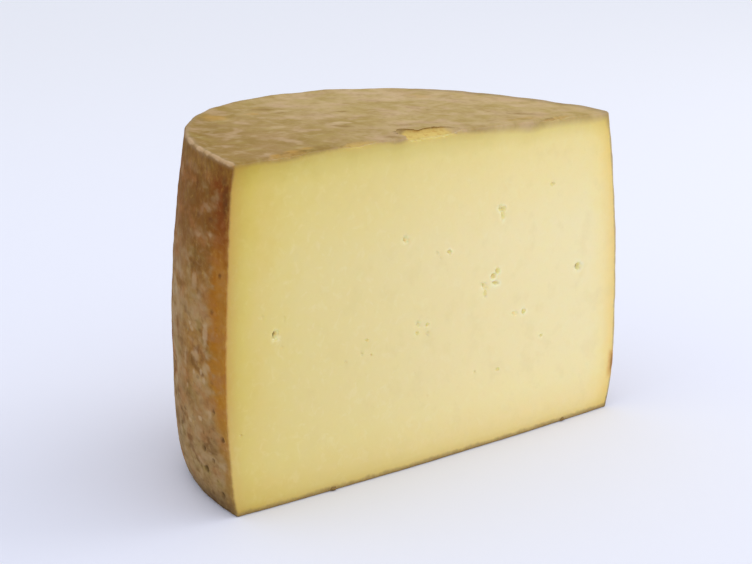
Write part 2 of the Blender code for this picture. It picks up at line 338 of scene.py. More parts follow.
# Layers laid over the ground colours: the layer's colour, the value where it starts, the value where it is
# full, and its strength. Values are noises around 0.5, marks from 0 to 1, depths and heights in mm, or metres
# across. First those of the side, then of the top, of the paste, and of the edges.
LAYERS = {
    # Painted sheen: grey-tan where the powdery rind turns away from view
    "side painted sheen": ((166, 146, 114), 0.25, 0.7, 0.65),
    "side brown cloud": ((140, 98, 46), 0.52, 0.66, 0.5),
    "side foot": ((150, 124, 84), 74, 30, 0.6),
    "side crown": ((116, 70, 16), 95, 150, 0.85),
    "side orange mark": ((164, 110, 38), 0.25, 0.7, 0.6),
    "side reddish blotch": ((156, 102, 56), 0.5, 0.68, 0.45),
    "side olive blotch": ((134, 112, 58), 0.48, 0.32, 0.5),
    "side pale blotch": ((176, 148, 108), 0.5, 0.7, 0.5),
    "side dark blotch": ((100, 62, 22), 0.49, 0.32, 0.55),
    "side pale grain": ((178, 150, 110), 0.5, 0.75, 0.25),
    "side dark grain": ((92, 58, 24), 0.5, 0.28, 0.35),
    "side pale mark": ((182, 152, 114), 0.3, 0.8, 0.6),
    "side speck": ((196, 168, 130), 0.35, 0.26, 0.5),
    "side dark mark": ((98, 56, 20), 0.3, 0.8, 0.75),
    "side small hole": ((88, 62, 30), 0.34, 0.22, 0.55),
    # The pits' brown, partly painted shade deep in each hollow
    "side pit with painted shade": ((86, 60, 30), 0.2, 1.5, 0.65),
    "top pale patch": ((196, 164, 130), 0.5, 0.68, 0.55),
    "top dark patch": ((170, 146, 82), 0.48, 0.32, 0.5),
    "top pale blotch": ((206, 180, 140), 0.5, 0.7, 0.25),
    "top dark blotch": ((152, 122, 72), 0.5, 0.32, 0.28),
    "top pale grain": ((206, 182, 142), 0.5, 0.72, 0.1),
    "top dark grain": ((148, 118, 68), 0.5, 0.3, 0.18),
    "top orange mark": ((192, 148, 74), 0.2, 0.85, 0.6),
    "top pale mark": ((206, 178, 138), 0.3, 0.85, 0.55),
    "top dark mark": ((138, 106, 54), 0.2, 1, 0.65),
    "top speck": ((142, 112, 62), 0.32, 0.18, 0.35),
    "pale curd": ((250, 240, 204), 0.52, 0.7, 0.12),
    "deep patch": ((222, 202, 134), 0.5, 0.7, 0.16),
    "deep grain": ((226, 206, 140), 0.55, 0.75, 0.1),
    # A ring of painted highlight round each opening, where its rim catches the light
    "painted highlight round an eye": ((255, 250, 216), 0, 1, 0.4),
    # Painted light: paler yellow on an eye's walls, lifting the shade in the hollow
    "eye": ((254, 242, 188), 0.2, 1.2, 0.85),
    # Painted shade: dark olive deep in the largest eyes
    "painted shade in an eye's core": ((148, 114, 24), 2.7, 3.9, 0.9),
    "worn right end": ((192, 176, 140), 0.05, 0.12, 0.8),
    "shade under the rim": ((98, 62, 26), 13, 4, 0.5),
    "rim": ((156, 134, 102), 3.6, 0.8, 0.5),
    "right rim": ((150, 130, 104), 8, 3, 0.5),
    # Painted highlight along the rounded front-left rim, where it catches the light
    "painted highlight on the front ridge": ((210, 176, 138), 1.8, 0.5, 0.75),
    # Painted shade darkening the rind towards its foot, and a painted contact shadow along its lowest edge
    "foot": ((98, 75, 46), 15, 2, 0.65),
    "painted contact shadow at the foot": ((76, 54, 34), 3.4, 0.4, 0.7),
    # Painted shadow under the overhanging crust at the back of a chip
    "painted shadow along a chip's back": ((132, 92, 38), 0, 0.1, 0.85),
    "torn paste": ((222, 188, 106), 0.2, 1.4, 0.5),
    "torn smudge": ((190, 142, 70), 0.2, 1.4, 0.5),
    "flake": ((198, 158, 92), 0.1, 1, 0.4),
    "stain": ((212, 160, 80), 11, 4, 0.75),
    "core of the stain": ((150, 108, 62), 8, 2, 0.75),
    # Partly the base's rind, partly painted contact shadow at the foot of the cut
    "heel": ((150, 122, 72), 3.4, 0.9, 0.75),
    "crumb": ((118, 92, 46), 0.1, 0.5, 0.85),
}

# The orange-brown band beside the cut, in mm: its width at the foot, how much wider it is above, the heights
# between which it widens, how ragged its edge is, how soft, and its strength
BAND_WIDTH = 5.0
BAND_WIDENING = 9.0
BAND_WIDENS = (30, 75)
BAND_RAGGED = 26
BAND_EDGE = (6.0, -6.5)
BAND_STRENGTH = 0.9

# What the paste's colour is multiplied by at each depth below the crust, above the base, and in from the rind
# at the left and right: depth in mm, and shares of red, green and blue
UNDER_CRUST_TINT = (
    (0, (0.84, 0.79, 0.62)),
    (3, (0.89, 0.86, 0.69)),
    (6, (0.93, 0.915, 0.76)),
    (13, (0.973, 0.963, 0.86)),
    (24, (0.988, 0.978, 0.91)),
    (40, (0.995, 0.99, 0.95)),
    (60, (1, 1, 1)),
)
ABOVE_BASE_TINT = (
    (0, (0.88, 0.82, 0.66)),
    (2.5, (0.93, 0.89, 0.75)),
    (6, (0.965, 0.945, 0.85)),
    (12, (0.99, 0.975, 0.92)),
    (25, (1, 1, 0.975)),
    (45, (1, 1, 1)),
)
LEFT_TINT = (
    (0, (0.88, 0.78, 0.62)),
    (2, (0.90, 0.82, 0.66)),
    (5, (0.925, 0.87, 0.70)),
    (8, (0.945, 0.915, 0.75)),
    (12, (0.965, 0.945, 0.80)),
    (20, (0.985, 0.965, 0.89)),
    (32, (0.995, 0.99, 0.95)),
    (50, (1, 1, 1)),
)
RIGHT_TINT = (
    (0, (0.93, 0.89, 0.72)),
    (2.5, (0.96, 0.925, 0.77)),
    (5, (0.98, 0.95, 0.83)),
    (12, (1, 0.99, 0.94)),
    (22, (1, 1, 1)),
)

# How thick the rind and the crust are at the cut's edges, in mm, how much thicker the crust looks where it is
# worn at the right, and how high the brown stain at the right edge of the cut lies
RIND_THICKNESS = 0.7
CRUST_THICKNESS = 1.0
WORN_CRUST = 2.0
STAIN_HEIGHT = 27.0

# Where the painted grey sheen begins on the side, in metres round the rind, where the top's shade and the
# paste's colours run from and to in metres across, and how deep the bumps of the shading are in mm
PAINTED_SHEEN_FROM = (0.404, 0.374)
TOP_SHADE_ENDS = (-0.13, 0.03)
PASTE_ENDS = (-0.15, 0.13)
PASTE_BUMP = 0.4
RIND_BUMP = 0.5

# Light and floor
FLOOR_RADIUS = 6.0
# Painted light: the floor a little lighter and bluer near the camera, where the cheese's shadow lies, and
# darker far back
FLOOR_NEAR = (235, 236, 249)
FLOOR_FAR = (232, 232, 239)
FLOOR_FADE = (-0.1, 1.5)
SKY_COLOUR = (245, 249, 255)
SKY_STRENGTH = 1.015
PANEL_PLACE = (1.35, -0.32, 1.25)
PANEL_SIZE = 1.3
PANEL_POWER = 5.7
PANEL_COLOUR = (255, 251, 240)


def linear(colour, alpha=1.0):
    """An RGBA for Blender from red, green and blue as seen on a screen, 0 to 255."""
    shares = [channel / 255 for channel in colour]
    parts = [share / 12.92 if share <= 0.04045 else ((share + 0.055) / 1.055) ** 2.4 for share in shares]
    return (*parts, alpha)


def side_radius(height):
    """The barrel's radius at each height, before any relief."""
    upper = np.clip((height - BELLY_HEIGHT) / (HEIGHT - BELLY_HEIGHT), 0, 1)
    lower = np.clip((BELLY_HEIGHT - height) / BELLY_HEIGHT, 0, 1)
    shrink = (BELLY_RADIUS - TOP_RADIUS) * upper ** UPPER_BULGE_POWER
    return BELLY_RADIUS - shrink - (BELLY_RADIUS - BASE_RADIUS) * lower ** LOWER_BULGE_POWER


def profile():
    """Radius and height of each ring of the rind, from the flat base's edge to the flat top's edge."""
    turns = np.radians(90 * np.arange(CELLS_IN_ROUNDING + 1) / CELLS_IN_ROUNDING)
    low = BASE_ROUNDING * (1 - np.cos(turns[:-1]))
    low_radius = side_radius(low) - BASE_ROUNDING * (1 - np.sin(turns[:-1]))
    straight = HEIGHT - TOP_ROUNDING - BASE_ROUNDING
    middle = BASE_ROUNDING + straight * np.arange(CELLS_UP_SIDE) / CELLS_UP_SIDE
    high = HEIGHT - TOP_ROUNDING * (1 - np.sin(turns))
    high_radius = side_radius(high) - TOP_ROUNDING * (1 - np.cos(turns))
    heights = np.concatenate([low, middle, high])
    radii = np.concatenate([low_radius, side_radius(middle), high_radius])
    return list(zip(radii.tolist(), heights.tolist()))


def shares_of(count):
    """Shares from 0 to 1 in even cells, with thin cells beside both ends."""
    thin = [part / count for part in THIN_CELLS]
    whole = [step / count for step in range(1, count)]
    return [0.0, *thin, *whole, *[1 - part for part in reversed(thin)], 1.0]


def half_disc(across, inward):
    """Maps across (-1 to 1) and inward (0 to 1) to a half disc of radius 1, with even cells along its rim."""
    return across * math.sqrt(1 - inward ** 2 / 2), inward * math.sqrt(1 - across ** 2 / 2)


ACROSS = [2 * share - 1 for share in shares_of(2 * CELLS_IN_EIGHTH)]
INWARD = shares_of(CELLS_IN_EIGHTH)


def rim_places():
    """The across and inward values of each point along the half disc's rim, from +X round the back to -X."""
    places = [(1.0, inward) for inward in INWARD[:-1]]
    places += [(across, 1.0) for across in reversed(ACROSS[1:])]
    places += [(-1.0, inward) for inward in reversed(INWARD)]
    return places


def side_rows():
    directions = [half_disc(*place) for place in rim_places()]
    return [[(x * radius, y * radius, height) for x, y in directions] for radius, height in profile()]


def top_rows():
    radius, height = profile()[-1]
    rows = []
    for inward in INWARD:
        places = [half_disc(across, inward) for across in ACROSS]
        rows.append([(x * radius, y * radius, height) for x, y in places])
    return rows


def cut_rows():
    return [[(radius * across, 0.0, height) for across in ACROSS] for radius, height in profile()]


def add_patch(mesh, rows, material):
    """Adds a sheet of four-sided faces through rows of points."""
    corners = [[mesh.verts.new(point) for point in row] for row in rows]
    for lower, upper in zip(corners, corners[1:]):
        for left in range(len(lower) - 1):
            face = mesh.faces.new((lower[left], lower[left + 1], upper[left + 1], upper[left]))
            face.material_index = material


def add_base(mesh, material):
    """Closes the bottom with a few rings and one flat face."""
    radius, _ = profile()[0]
    rim = [half_disc(*place) for place in rim_places()]
    loop = rim + [(across, 0.0) for across in ACROSS[1:-1]]
    rings = []
    for scale in (1.0, *BASE_RINGS):
        ring = []
        for x, y in loop:
            ring.append((x * radius * scale, BASE_MIDDLE + (y * radius - BASE_MIDDLE) * scale, 0.0))
        rings.append(ring + ring[:1])
    add_patch(mesh, rings, material)
    last = [mesh.verts.new(point) for point in rings[-1][:-1]]
    mesh.faces.new(last).material_index = material


def read_noise(points, length, place=(0.0, 0.0, 0.0)):
    """Smooth noise from about -1 to 1 at each point, with its bumps about one length apart."""
    spots = points / length + np.array(place)
    return np.array([noise.noise(spot) for spot in spots.tolist()])


def fade(distance, depth):
    """1 at a surface, falling smoothly to 0 at a depth."""
    share = np.clip(1 - distance / depth, 0, 1)
    return share * share * (3 - 2 * share)


class Hollow:
    """An ellipsoid that hollows the cheese. Points inside it are pushed along a direction to its far wall."""

    def __init__(self, kind, place, size, push, turn=0.0, axis="Y"):
        self.kind = kind
        self.place = np.array(place) * MILLIMETRE
        self.radii = np.array(size) * MILLIMETRE / 2
        self.turn = np.array(Matrix.Rotation(turn, 3, axis))
        self.push = np.array(Vector(push).normalized())

    def reach(self):
        return self.radii + HOLLOW_MARGIN

    def near(self, points):
        """Which points lie within the ellipsoid or just round it."""
        local = (points - self.place) @ self.turn / self.reach()
        return (local ** 2).sum(axis=1) < 1

    def dig(self, points, warp):
        """How far each point moves along the push to leave the ellipsoid."""
        local = (points + warp - self.place) @ self.turn / self.radii
        way = self.push @ self.turn / self.radii
        spread = (local ** 2).sum(axis=1)
        a = way @ way
        b = local @ way
        distance = (-b + np.sqrt(np.maximum(b * b - a * (spread - 1), 0))) / a
        soften = np.clip(1 - spread, 0, 1) ** SOFT_RIMS[self.kind]
        ring = np.clip(1 - np.abs(np.sqrt(spread) - 1) / (HALO_REACH - 1), 0, 1)
        return np.where(spread < 1, distance * soften, 0.0), ring


def make_hollows():
    """Every opening, chip, pit and crumb of the cheese."""
    hollows = []
    for across, up, width, height, depth, turn in EYES + FINE_EYES:
        plain = np.array([[across * MILLIMETRE, 0.0, up * MILLIMETRE]])
        place = (across, EYE_SINK_SHARE * depth - foot_sag(plain)[0] / MILLIMETRE, up)
        hollows.append(Hollow("eye", place, (width, 2 * depth, height), (0, 1, 0), math.radians(turn)))
    for across, length, drop, depth in CHIPS:
        place = bend(np.array([[across * MILLIMETRE, 0.0, HEIGHT]]))[0] / MILLIMETRE
        kind = "chip" if depth > FLAKE_DEPTH else "flake"
        hollows.append(Hollow(kind, place, (length, 2 * depth, 2 * drop), (0, 1, -1)))
    for across, up, width, height, depth in CRUMBS:
        plain = np.array([[across * MILLIMETRE, 0.0, up * MILLIMETRE]])
        place = (across, -foot_sag(plain)[0] / MILLIMETRE, up)
        hollows.append(Hollow("crumb", place, (width, 2 * depth, height), (0, -1, 0)))
    draw = random.Random(PIT_SEED)
    pits = list(NEAR_PITS)
    for _ in range(FAR_PIT_COUNT):
        low, high = FAR_PIT_HEIGHTS
        height = low + (high - low) * draw.random() ** 2
        width = draw.uniform(*FAR_PIT_WIDTHS)
        pits.append((draw.uniform(*FAR_PIT_ANGLES), height, width, PIT_DEPTH_SHARE * width))
    for angle, up, width, depth in pits:
        turn = math.radians(angle)
        radius = float(side_radius(up * MILLIMETRE)) / MILLIMETRE
        outward = (math.cos(turn), math.sin(turn), 0.0)
        place = (radius * outward[0], radius * outward[1], up)
        inward = (-outward[0], -outward[1], 0)
        hollows.append(Hollow("pit", place, (2 * depth, width, width), inward, turn, "Z"))
    return hollows


def refine(mesh, hollows):
    """Splits the cells round each hollow, so that its wall is smooth."""
    mesh.verts.ensure_lookup_table()
    points = bend(np.array([vertex.co[:] for vertex in mesh.verts]))
    near = np.zeros(len(points), dtype=bool)
    for hollow in hollows:
        near |= hollow.near(points)
    edges = [edge for edge in mesh.edges if near[edge.verts[0].index] and near[edge.verts[1].index]]
    bmesh.ops.subdivide_edges(mesh, edges=edges, cuts=CUTS_AT_HOLLOWS, use_grid_fill=True)


def foot_sag(points):
    """How far the foot of the cut face stands forward."""
    x, y, z = points.T
    across = np.maximum(1 - (x / side_radius(z)) ** 2, 0)
    down = np.maximum(1 - z / FOOT_HEIGHT, 0)
    forward = np.maximum(1 - y / FOOT_DEPTH, 0)
    return FOOT_SAG * across * down ** 2 * forward ** 2


def foot_tuck(points):
    """How far the rind draws in just above the base."""
    y, z = points[:, 1], points[:, 2]
    low = np.maximum(1 - z / TUCK_HEIGHT, 0)
    return TUCK_IN * low ** 2 * (1 - np.exp(-(y / TUCK_SPREAD) ** 2))


def shoulder(points):
    """How far the rind swells outward at the left end of the cut."""
    x, y, z = points.T
    up = (z - SHOULDER_HEIGHT) / SHOULDER_SPREAD_UP
    back = y / SHOULDER_SPREAD_BACK
    return np.where(x > 0, 0.0, SHOULDER_RISE * np.exp(-up * up - back * back))


def round_edges(points, outward):
    """How each point near an edge of the cut moves, to round that edge."""
    x, y, z = points.T
    from_side = side_radius(z) - np.hypot(x, y)
    vary = 1 + ROUNDING_VARIES * read_noise(points, ROUNDING_LENGTH)
    moves = np.zeros_like(points)
    down = np.array([0.0, 0.0, -1.0])
    edges = (
        (EDGE_ROUNDING, from_side, -outward),
        (TOP_EDGE_ROUNDING, HEIGHT - z, down),
        (FOOT_ROUNDING, z, -down),
    )
    for size, depth, inward in edges:
        reach = size * vary
        corner = (np.clip(1 - depth / reach, 0, 1) * np.clip(1 - y / reach, 0, 1)) ** 2
        move = ROUNDING_SHARE * reach * corner
        moves += move[:, None] * (inward + np.array([0.0, 1.0, 0.0]))
    return moves


def bend(points):
    """Moves the points of the plain half barrel to the uneven cheese, before its hollows."""
    x, y, z = points.T
    radius = np.hypot(x, y)
    from_side = side_radius(z) - radius
    near_side = fade(from_side, RELIEF_DEPTH)
    near_top = fade(HEIGHT - z, RELIEF_DEPTH)
    near_cut = fade(y, RELIEF_DEPTH)
    outward = np.stack([x, y, np.zeros_like(x)], axis=1) / np.maximum(radius, 1e-6)[:, None]

    push = LUMP_RISE * read_noise(points, LUMP_LENGTH, LUMP_PLACE)
    push += KNUCKLE_RISE * read_noise(points, KNUCKLE_LENGTH, LUMP_PLACE)
    fine = CRUST_RISE * read_noise(points, CRUST_LENGTH) + CRUMB_RISE * read_noise(points, CRUMB_LENGTH)
    near_rim = np.exp(-((HEIGHT - z) ** 2 + from_side ** 2) / SCALLOP_WIDTH ** 2) * fade(y, SCALLOP_SPREAD)
    near_rim *= np.where(x > 0, SCALLOP_AT_RIGHT, 1.0)
    fine += SCALLOP_RISE * read_noise(points, SCALLOP_LENGTH, SCALLOP_PLACE) * near_rim

    shift = shoulder(points) - foot_tuck(points)
    side_push = (push + shift) * near_side + fine * fade(from_side, FINE_DEPTH)
    moved = points + outward * side_push[:, None] + round_edges(points, outward)
    dome = DOME_RISE * (1 - (radius / TOP_RADIUS) ** 2)
    lip = LIP_RISE * np.exp(-((TOP_RADIUS - radius) / LIP_WIDTH) ** 2)
    moved[:, 2] += (dome + lip) * (z / HEIGHT) ** DOME_BLEND_POWER + push * near_top
    moved[:, 2] += fine * fade(HEIGHT - z, FINE_DEPTH) * TOP_SHARE_OF_FINE
    moved[:, 2] *= 1 + (BACK_RISE * y - LEFT_RISE * x) / (HEIGHT * TOP_RADIUS)

    flat = points * np.array([1.0, 0.0, 1.0])
    moved[:, 1] += CUT_WAVE_RISE * read_noise(flat, CUT_WAVE_LENGTH) * near_cut - foot_sag(points)
    return moved


def hollow_out(points, hollows):
    """Digs every hollow, and says how deep each kind is at each point and how near an opening it lies."""
    warp = WARP_RISE * np.stack([read_noise(points, WARP_LENGTH, place) for place in WARP_PLACES], axis=1)
    moved = points.copy()
    depths = {kind: np.zeros(len(points)) for kind in SOFT_RIMS}
    halo = np.zeros(len(points))
    for hollow in hollows:
        distance, ring = hollow.dig(moved, warp)
        moved += distance[:, None] * hollow.push
        depths[hollow.kind] = np.maximum(depths[hollow.kind], distance)
        if hollow.kind == "eye":
            halo = np.maximum(halo, ring * min(hollow.radii[1] / HALO_DEPTH, 1.0) ** 2)
    moved[:, 2] = np.maximum(moved[:, 2], 0.0)
    return moved, depths, halo


def settle(points):
    """Puts the middle of the points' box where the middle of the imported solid's box is."""
    low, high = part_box(NODE)
    middle = (points.min(axis=0) + points.max(axis=0)) / 2
    wanted = (np.array(low) + np.array(high)) / 2
    return points + np.array([wanted[0] - middle[0], wanted[1] - middle[1], 0.0])


def paint(across, up, marks):
    """Soft oval spots on a flat map in mm: the strongest of them at each point."""
    strongest = np.zeros(len(across))
    for mark_across, mark_up, width, height, turn, strength in marks:
        angle = math.radians(turn)
        right = across - mark_across
        above = up - mark_up
        along = (right * math.cos(angle) + above * math.sin(angle)) / width
        over = (above * math.cos(angle) - right * math.sin(angle)) / height
        strongest = np.maximum(strongest, strength * np.exp(-MARK_SPREAD * (along ** 2 + over ** 2)))
    return strongest


def add_measure(data, name, values):
    """Keeps one number for each vertex, which the materials read."""
    attribute = data.attributes.new(name, "FLOAT", "POINT")
    attribute.data.foreach_set("value", np.asarray(values, dtype=np.float32))


def add_measures(data, plain, bent, dug, depths, halo):
    """Keeps how deep each vertex lies below each surface, in mm, and the marks of the rind."""
    x, y, z = plain.T
    radius = np.hypot(x, y)
    outward = np.stack([x, y, np.zeros_like(x)], axis=1) / np.maximum(radius, 1e-6)[:, None]
    moved = dug - bent
    from_side = side_radius(z) - radius - (moved * outward).sum(axis=1) - depths["pit"]
    from_top = HEIGHT - z - moved[:, 2]
    flap = np.zeros(len(x))
    for across, length, drop in FLAPS:
        flap += drop * np.exp(-MARK_SPREAD * ((x / MILLIMETRE - across) / length) ** 2)
    lengths = {"from_side": from_side, "from_top": from_top, "from_base": z, "from_cut": y, **depths}
    for name, length in lengths.items():
        add_measure(data, name, length / MILLIMETRE)
    add_measure(data, "from_crust", from_top / MILLIMETRE - flap)
    add_measure(data, "halo", halo)

    angle = np.arctan2(y, x)
    around = angle * BELLY_RADIUS
    wrap = data.attributes.new("wrap", "FLOAT_VECTOR", "POINT")
    flat = np.stack([around, np.zeros_like(x), z], axis=1)
    wrap.data.foreach_set("vector", flat.astype(np.float32).ravel())
    on_side = fade(from_side, RELIEF_DEPTH)
    on_top = fade(from_top, RELIEF_DEPTH)
    for name, side_marks, top_marks in MARKS:
        laid = [(math.radians(mark[0]) * BELLY_RADIUS / MILLIMETRE, *mark[1:]) for mark in side_marks]
        side_part = paint(around / MILLIMETRE, z / MILLIMETRE, laid) * on_side
        top_part = paint(x / MILLIMETRE, y / MILLIMETRE, top_marks) * on_top
        add_measure(data, "side_" + name, side_part)
        add_measure(data, "top_" + name, top_part)


def make_cheese(paste, rind):
    hollows = make_hollows()
    mesh = bmesh.new()
    add_patch(mesh, cut_rows(), 0)
    add_patch(mesh, side_rows(), 1)
    add_patch(mesh, top_rows(), 1)
    add_base(mesh, 1)
    bmesh.ops.remove_doubles(mesh, verts=mesh.verts, dist=WELD_DISTANCE)
    bmesh.ops.recalc_face_normals(mesh, faces=mesh.faces)
    refine(mesh, hollows)
    plain = np.array([vertex.co[:] for vertex in mesh.verts])
    bent = bend(plain)
    dug, depths, halo = hollow_out(bent, hollows)
    for vertex, place in zip(mesh.verts, settle(dug).tolist()):
        vertex.co = place
    data = bpy.data.meshes.new("cheese")
    mesh.to_mesh(data)
    mesh.free()
    add_measures(data, plain, bent, dug, depths, halo)
    data.shade_smooth()
    data.set_sharp_from_angle(angle=SHARP_EDGE_ANGLE)
    data.materials.append(paste)
    data.materials.append(rind)
    cheese = bpy.data.objects.new("cheese", data)
    bpy.context.scene.collection.objects.link(cheese)
    return cheese


class Shading:
    """A short way to write a material's nodes. Lengths are in mm, and noises lie around 0.5."""

    def __init__(self, name):
        self.material = bpy.data.materials.new(name)
        self.material.use_nodes = True
        self.tree = self.material.node_tree
        self.shader = self.tree.nodes["Principled BSDF"]
        self.place = self.add("ShaderNodeTexCoord").outputs["Object"]
        self.wrap = self.add("ShaderNodeAttribute", attribute_name="wrap").outputs["Vector"]

    def add(self, kind, **settings):
        node = self.tree.nodes.new(kind)
        for name, value in settings.items():
            setattr(node, name, value)
        return node

    def feed(self, socket, value):
        """Links a socket, or sets its value."""
        if isinstance(value, bpy.types.NodeSocket):
            self.tree.links.new(value, socket)
        else:
            socket.default_value = value

    def measure(self, name):
        return self.add("ShaderNodeAttribute", attribute_name=name).outputs["Fac"]

    def part(self, vector, name):
        separate = self.add("ShaderNodeSeparateXYZ")
        self.feed(separate.inputs[0], vector)
        return separate.outputs[name]

    def math(self, operation, first, second=0.0, third=0.0):
        node = self.add("ShaderNodeMath", operation=operation)
        for socket, value in zip(node.inputs, (first, second, third)):
            self.feed(socket, value)
        return node.outputs[0]

    def total(self, *values):
        result = values[0]
        for value in values[1:]:
            result = self.math("ADD", result, value)
        return result

    def times(self, *values):
        result = values[0]
        for value in values[1:]:
            result = self.math("MULTIPLY", result, value)
        return result

    def less(self, share, amount, whole=1.0):
        """A whole, less an amount where a share is 1."""
        return self.math("MULTIPLY_ADD", share, -amount, whole)

    def around_zero(self, value, size):
        """Noise around 0.5 turned into noise around 0, of a size."""
        return self.math("MULTIPLY_ADD", value, size, -size / 2)

    def uneven(self, value, *noises):
        """A value with noises added, each around 0 and of its own size."""
        return self.total(value, *[self.around_zero(noise, size) for noise, size in noises])

    def between(self, value, low, high):
        """0 below low, 1 above high, and smooth between. A high below low turns it round."""
        node = self.add("ShaderNodeMapRange", interpolation_type="SMOOTHSTEP")
        self.feed(node.inputs["Value"], value)
        self.feed(node.inputs["From Min"], low)
        self.feed(node.inputs["From Max"], high)
        return node.outputs["Result"]

    def mapped(self, space, stretch, offset):
        mapping = self.add("ShaderNodeMapping")
        self.feed(mapping.inputs["Vector"], space)
        mapping.inputs["Scale"].default_value = [1 / part for part in stretch]
        mapping.inputs["Location"].default_value = (offset, offset / 2, -offset)
        return mapping.outputs["Vector"]

    def noise(self, length, detail, roughness, offset, distortion, space=None, stretch=(1, 1, 1)):
        """Noise around 0.5 with its bumps about a length apart, in mm, longer along a stretched axis."""
        node = self.add("ShaderNodeTexNoise")
        self.feed(node.inputs["Vector"], self.mapped(space or self.place, stretch, offset))
        node.inputs["Scale"].default_value = 1 / (length * MILLIMETRE)
        node.inputs["Detail"].default_value = detail
        node.inputs["Roughness"].default_value = roughness
        node.inputs["Distortion"].default_value = distortion
        return node.outputs[0]

    def noises(self, rows, **settings):
        return [self.noise(*row, **settings) for row in rows.values()]

    def spots(self, spacing, space=None, stretch=(1, 1, 1), offset=0.0):
        """Distance from the nearest of scattered points, as a share of their spacing in mm."""
        node = self.add("ShaderNodeTexVoronoi")
        self.feed(node.inputs["Vector"], self.mapped(space or self.place, stretch, offset))
        node.inputs["Scale"].default_value = 1 / (spacing * MILLIMETRE)
        return node.outputs["Distance"]

    def mix(self, share, first, second, blend="MIX"):
        node = self.add("ShaderNodeMix", data_type="RGBA", blend_type=blend)
        self.feed(node.inputs["Factor"], share)
        self.feed(node.inputs["A"], self.colour(first))
        self.feed(node.inputs["B"], self.colour(second))
        return node.outputs["Result"]

    def blend(self, share, first, second):
        """Goes from a first number to a second as a share goes from 0 to 1."""
        node = self.add("ShaderNodeMix", data_type="FLOAT")
        self.feed(node.inputs["Factor"], share)
        self.feed(node.inputs["A"], first)
        self.feed(node.inputs["B"], second)
        return node.outputs["Result"]

    def share(self, name, value):
        """How far a value is from where a layer starts to where it is full."""
        _, start, full, _ = LAYERS[name]
        return self.between(value, start, full)

    def lay(self, under, name, value, *shares):
        """Lays a layer over a colour, where a value and all further shares ask for it."""
        colour, _, _, strength = LAYERS[name]
        share = self.times(self.share(name, value), *shares, strength)
        return self.mix(share, under, colour)

    def colour(self, value):
        return linear(value) if isinstance(value, tuple) else value

    def ramp(self, value, *stops):
        """Colours along a value: pairs of a place and a screen colour."""
        node = self.add("ShaderNodeValToRGB")
        self.feed(node.inputs["Fac"], value)
        elements = node.color_ramp.elements
        while len(elements) < len(stops):
            elements.new(1.0)
        for element, (position, colour) in zip(elements, stops):
            element.position = position
            element.color = linear(colour)
        return node.outputs["Color"]

    def tint(self, depth, stops):
        """What a colour is multiplied by at each depth in mm."""
        reach = stops[-1][0]
        places = [(deep / reach, [255 * share for share in shares]) for deep, shares in stops]
        return self.ramp(self.math("DIVIDE", depth, reach), *places)

    def finish(self, colour, roughness, height, bump_depth):
        """Feeds the shader, with a height as its bump, this many mm deep."""
        self.feed(self.shader.inputs["Base Color"], colour)
        self.feed(self.shader.inputs["Roughness"], roughness)
        bump = self.add("ShaderNodeBump")
        bump.inputs["Strength"].default_value = 1.0
        bump.inputs["Distance"].default_value = bump_depth * MILLIMETRE
        self.feed(bump.inputs["Height"], height)
        self.tree.links.new(bump.outputs["Normal"], self.shader.inputs["Normal"])
        return self.material


def side_ground(s, broad, mid, cloud):
    """The side's broad colours and the band beside the cut, and how calm the finer layers are over them."""
    colour = s.ramp(broad, *SIDE_RAMP)
    # Painted sheen: grey-tan on the powdery rind away from the cut, where it turns from view
    sheen_end = s.between(s.part(s.wrap, "X"), *PAINTED_SHEEN_FROM)
    colour = s.lay(colour, "side painted sheen", s.uneven(mid, (cloud, 1.2)), sheen_end)
    colour = s.lay(colour, "side brown cloud", cloud)
    colour = s.lay(colour, "side foot", s.uneven(s.base, (broad, 60)))
    crown_height = s.uneven(s.base, (broad, 70))
    colour = s.lay(colour, "side crown", crown_height)

    width = s.total(s.times(s.between(s.base, *BAND_WIDENS), BAND_WIDENING), BAND_WIDTH)
    from_cut = s.uneven(s.cut, (mid, BAND_RAGGED))
    band = s.between(s.math("SUBTRACT", from_cut, width), *BAND_EDGE)
    orange = s.ramp(s.math("DIVIDE", s.base, HEIGHT / MILLIMETRE), *BAND_RAMP)
    colour = s.mix(s.math("MULTIPLY", band, BAND_STRENGTH), colour, orange)

    crown = s.share("side crown", crown_height)
    calm = s.times(s.less(band, 0.7), s.less(crown, 0.55), s.less(s.between(cloud, 0.4, 0.6), 0.4, 1.1))
    return colour, calm


